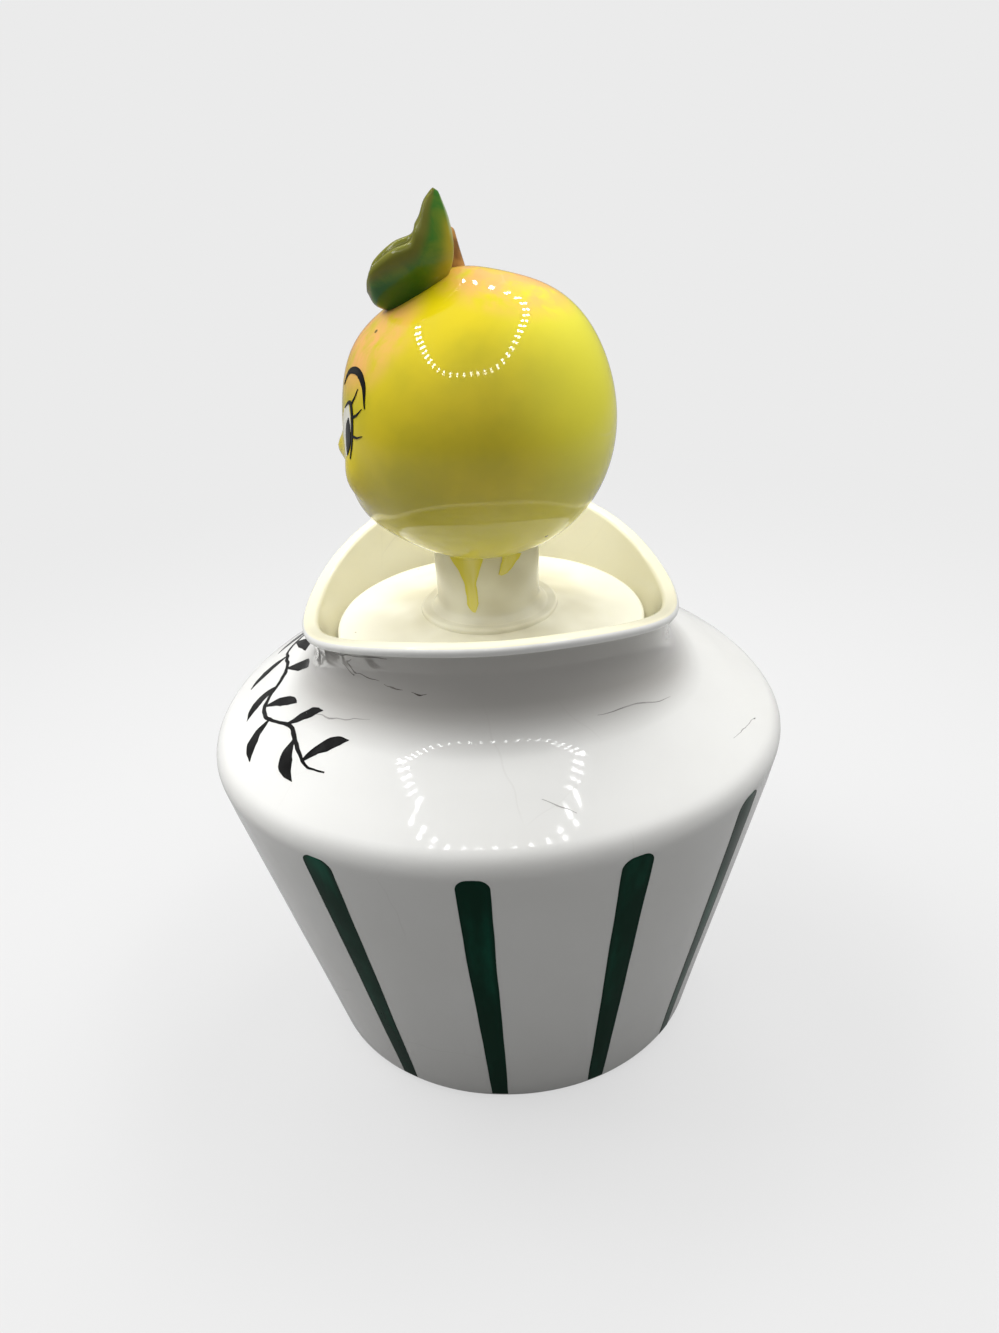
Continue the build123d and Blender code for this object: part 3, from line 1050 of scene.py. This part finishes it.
def brushed_colour(name, thick, thin, scale=260.0, specular=0.5):
    """Painted colour that the brush left thick at its edges and in places, and thin in others."""
    material, tree, where = new_glaze(name)
    along = put(tree, "ShaderNodeMapping", {"Vector": where, "Scale": (1.0, 1.0, 0.18)})
    bristles = mottle(tree, along, scale, 4.0)
    inside = eased(tree, marked(tree, "edge"), 1.0, 0.5)
    thinness = times(tree, eased(tree, bristles, 0.35, 0.75), inside)
    colour = blended(tree, thinness, thick, thin)
    glossy(tree, where, colour, 0.08, 0.2, ripple=0.15, specular=specular)
    return material


# Stage, with its sizes in metres
pot_middle = Vector((0, 0, 0.08))
pale_grey = (0.831, 0.831, 0.831, 1)


def seen_share(tree, path, mirror_share):
    """All of what the camera sees, straight or through things, and a share of what is mirrored."""
    mirrored = times(tree, path["Is Glossy Ray"], mirror_share)
    through = calc(tree, "MAXIMUM", path["Is Camera Ray"], path["Is Transmission Ray"])
    return calc(tree, "MAXIMUM", through, mirrored)


def make_floor():
    """Pale floor with a soft shadow near the pot, dimmer in reflections and where it only bounces light."""
    floor_size = 6.0
    below_foot = 0.3 * MM
    mirror_share = 0.25
    shadow_near, shadow_far, shadow_share = 0.08, 0.3, 0.25
    lit_grey = (0.68, 0.68, 0.68, 1)
    bounce_grey = (0.26, 0.26, 0.26, 1)
    bpy.ops.mesh.primitive_plane_add(size=floor_size, location=(0, 0, -below_foot))
    floor = bpy.context.object
    floor.name = "studio_floor"
    material = bpy.data.materials.new("studio_floor")
    material.use_nodes = True
    tree = material.node_tree
    tree.nodes.clear()
    path = put(tree, "ShaderNodeLightPath").node.outputs
    seen = seen_share(tree, path, mirror_share)
    glow = put(tree, "ShaderNodeEmission", {"Color": pale_grey})
    lit = put(tree, "ShaderNodeBsdfDiffuse", {"Color": lit_grey})
    where = put(tree, "ShaderNodeTexCoord", out="Object")
    away = vector(tree, "LENGTH", where, out="Value")
    shadow = eased(tree, away, shadow_near, shadow_far, shadow_share, 0.0)
    shown = put(tree, "ShaderNodeMixShader", {0: shadow, 1: glow, 2: lit})
    bounce = put(tree, "ShaderNodeBsdfDiffuse", {"Color": bounce_grey})
    surface = put(tree, "ShaderNodeMixShader", {0: seen, 1: bounce, 2: shown})
    wire(tree, tree.nodes.new("ShaderNodeOutputMaterial"), {"Surface": surface})
    floor.data.materials.append(material)


def make_world():
    """Pale surroundings to the eye, dimmer in reflections, and a weak fill, stronger from both sides."""
    low_mirror_share, high_mirror_share = 0.25, 0.5
    right_fill, left_fill, even_fill = 0.48, 0.36, 0.05
    world = bpy.data.worlds.new("studio_world")
    bpy.context.scene.world = world
    world.use_nodes = True
    tree = world.node_tree
    tree.nodes.clear()
    path = put(tree, "ShaderNodeLightPath").node.outputs
    pale = put(tree, "ShaderNodeBackground", {"Color": pale_grey})
    way = put(tree, "ShaderNodeTexCoord", out="Generated")
    parts = put(tree, "ShaderNodeSeparateXYZ", {0: way}).node.outputs
    sideways, upward = parts[1], parts[2]
    seen = seen_share(tree, path, eased(tree, upward, 0.0, 0.9, low_mirror_share, high_mirror_share))
    right = eased(tree, sideways, 0.2, 1.0, 0.0, right_fill)
    left = eased(tree, sideways, -0.2, -1.0, 0.0, left_fill)
    not_mirrored = calc(tree, "SUBTRACT", 1.0, path["Is Glossy Ray"])
    sides = times(tree, calc(tree, "ADD", right, left), not_mirrored)
    strength = calc(tree, "ADD", sides, even_fill)
    fill = put(tree, "ShaderNodeBackground", {"Color": (1.0, 1.0, 1.0, 1), "Strength": strength})
    surface = put(tree, "ShaderNodeMixShader", {0: seen, 1: fill, 2: pale})
    wire(tree, tree.nodes.new("ShaderNodeOutputWorld"), {"Surface": surface})


def make_lamp(name, shape, place, size, power):
    """Lamp that looks at the pot."""
    lamp = bpy.data.lights.new(name, "AREA")
    lamp.shape = shape
    lamp.size = size
    lamp.energy = power
    made = placed(name, lamp)
    made.location = place
    made.rotation_euler = (pot_middle - made.location).to_track_quat("-Z", "Y").to_euler()
    return made


def make_soft_lamp(name, place, size, power):
    """Broad lamp above, which shows in no reflection."""
    make_lamp(name, "SQUARE", place, size, power).visible_glossy = False


def make_ring_lamp(centre, half_depth, half_width, power, dot_power, softs=8, dots=40):
    """Overhead ring of soft lamps, stronger behind, and two rows of small dots that reflections show."""
    soft_size = 0.12
    dot_size = 0.012
    rows = {"inner": -0.009, "outer": 0.009}
    squareness = 3
    behind = 0.45

    def on_ring(turn, wider=0.0):
        depth, width = half_depth + wider, half_width + wider
        spread = abs(cos(turn) / depth) ** squareness + abs(sin(turn) / width) ** squareness
        reach = spread ** (-1 / squareness)
        return Vector(centre) + Vector((reach * cos(turn), reach * sin(turn), 0))

    def share(turn):
        return 1 - behind * cos(turn)

    for k in range(softs):
        turn = 2 * pi * (k + 0.5) / softs
        make_soft_lamp(f"ring_soft_lamp_{k}", on_ring(turn), soft_size, power / softs * share(turn))
    for row, wider in rows.items():
        for k in range(dots):
            turn = 2 * pi * k / dots
            make_lamp(f"{row}_dot_lamp_{k}", "DISK", on_ring(turn, wider), dot_size,
                      dot_power / dots / len(rows) * share(turn))


def make_camera():
    """Camera at the viewing angle: above the side with the leaf, tilted a little."""
    focal_pixels = 1211.0
    longer_side_pixels = 1333.0
    distance = 0.200
    lift = radians(28.94)
    tilt = radians(-3.64)
    target = Vector((0, 0, 0.060))
    data = bpy.data.cameras.new("camera")
    data.sensor_width = 36.0
    data.lens = data.sensor_width * focal_pixels / longer_side_pixels
    data.shift_x = 0.0032
    data.shift_y = 0.0165
    data.clip_start = 0.01
    camera = placed("camera", data)
    camera.location = target + Vector((cos(lift), 0, sin(lift))) * distance
    facing = (target - camera.location).to_track_quat("-Z", "Y").to_matrix()
    camera.rotation_euler = (facing @ Matrix.Rotation(tilt, 3, "Z")).to_euler()
    bpy.context.scene.camera = camera


# The pieces
turned = turned_tree()
brush = brush_tree()
pot = make_pot_body(turned, pot_glaze())
cream = lid_glaze()
make_lid_plate(turned, cream)
neck = make_lid_neck(turned, cream)
yellow = brushed_colour("yellow_run_colour", thick=(0.74, 0.66, 0.07, 1), thin=(0.86, 0.80, 0.36, 1))
make_glaze_runs(brush, neck, yellow)
brown = brushed_colour("crack_colour", thick=(0.10, 0.09, 0.08, 1), thin=(0.35, 0.33, 0.30, 1))
make_lip_cracks(brush, pot, brown)
grey = brushed_colour("hairline_colour", thick=(0.30, 0.29, 0.275, 1), thin=(0.52, 0.51, 0.49, 1))
make_hairlines(brush, pot, grey)
head = make_fruit_head(fruit_glaze())
make_fruit_leaf(leaf_glaze())
make_fruit_stalk(turned, stalk_glaze())
green = brushed_colour("green_stripe_colour", thick=(0.001, 0.028, 0.014, 1), thin=(0.003, 0.095, 0.055, 1),
                       scale=150.0, specular=0.03)
make_stripes(brush, pot, green)
black = brushed_colour("black_brush_colour", thick=(0.004, 0.004, 0.004, 1), thin=(0.02, 0.02, 0.02, 1),
                       specular=0.15)
make_sprig(brush, pot, black)
white = brushed_colour("white_eye_colour", thick=(0.80, 0.79, 0.74, 1), thin=(0.74, 0.72, 0.60, 1))
red = brushed_colour("red_mouth_colour", thick=(0.42, 0.02, 0.015, 1), thin=(0.55, 0.06, 0.03, 1))
make_face(brush, head, black, white, red)

# The stage around them
make_floor()
make_world()
make_soft_lamp("right_soft_lamp", place=(-0.2, 0.25, 0.5), size=0.5, power=1.6)
make_soft_lamp("left_soft_lamp", place=(-0.12, -0.35, 0.5), size=0.4, power=2.0)
make_ring_lamp(centre=(0.015, -0.02, 0.46), half_depth=0.265, half_width=0.21, power=1.6, dot_power=0.8)
make_camera()
bpy.context.scene.view_settings.view_transform = "Standard"
